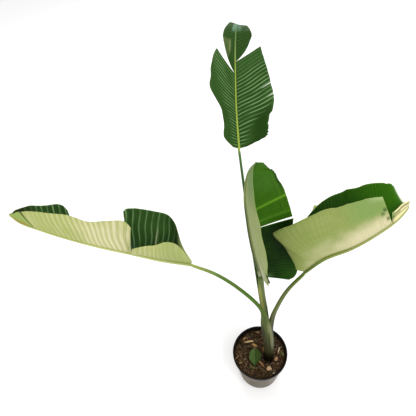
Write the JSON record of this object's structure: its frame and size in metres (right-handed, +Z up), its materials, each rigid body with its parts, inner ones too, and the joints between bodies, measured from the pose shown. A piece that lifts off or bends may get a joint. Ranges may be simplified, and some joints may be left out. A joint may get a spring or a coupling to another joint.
{
  "type": "potted bird of paradise plant",
  "caption": "House plant with long-stalked paddle leaves, torn along their side veins, rising from one root in a tapered nursery pot of bark-topped soil.",
  "frame": {"origin": "middle of the pot's flat underside, where the pot rests", "axes": "+Z up; -Y towards the viewer of the picture; the long lying leaf reaches to -X and the tall leaf leans to +Y"},
  "size_m": [1.1263, 0.7506, 1.1609],
  "materials": {
    "leaf_blade": "waxy dark green upper side with raised side veins, paler matt underside",
    "leaf_stalk": "smooth satin green stalk, brownish at its foot",
    "sprout": "satin young leaf",
    "potting_soil": "rough moist potting mix with bark chips",
    "nursery_pot": "thin black moulded plastic with a dusty sheen"
  },
  "bodies": {
    "root": {"stalk_tall_leaf": "leaf_stalk", "blade_tall_leaf": "leaf_blade", "stalk_middle_leaf": "leaf_stalk", "blade_middle_leaf": "leaf_blade", "stalk_right_leaf": "leaf_stalk", "blade_right_leaf": "leaf_blade", "stalk_left_leaf": "leaf_stalk", "blade_left_leaf": "leaf_blade", "sprout": "sprout", "soil": "potting_soil", "pot": "nursery_pot"}
  },
  "joints": []
}
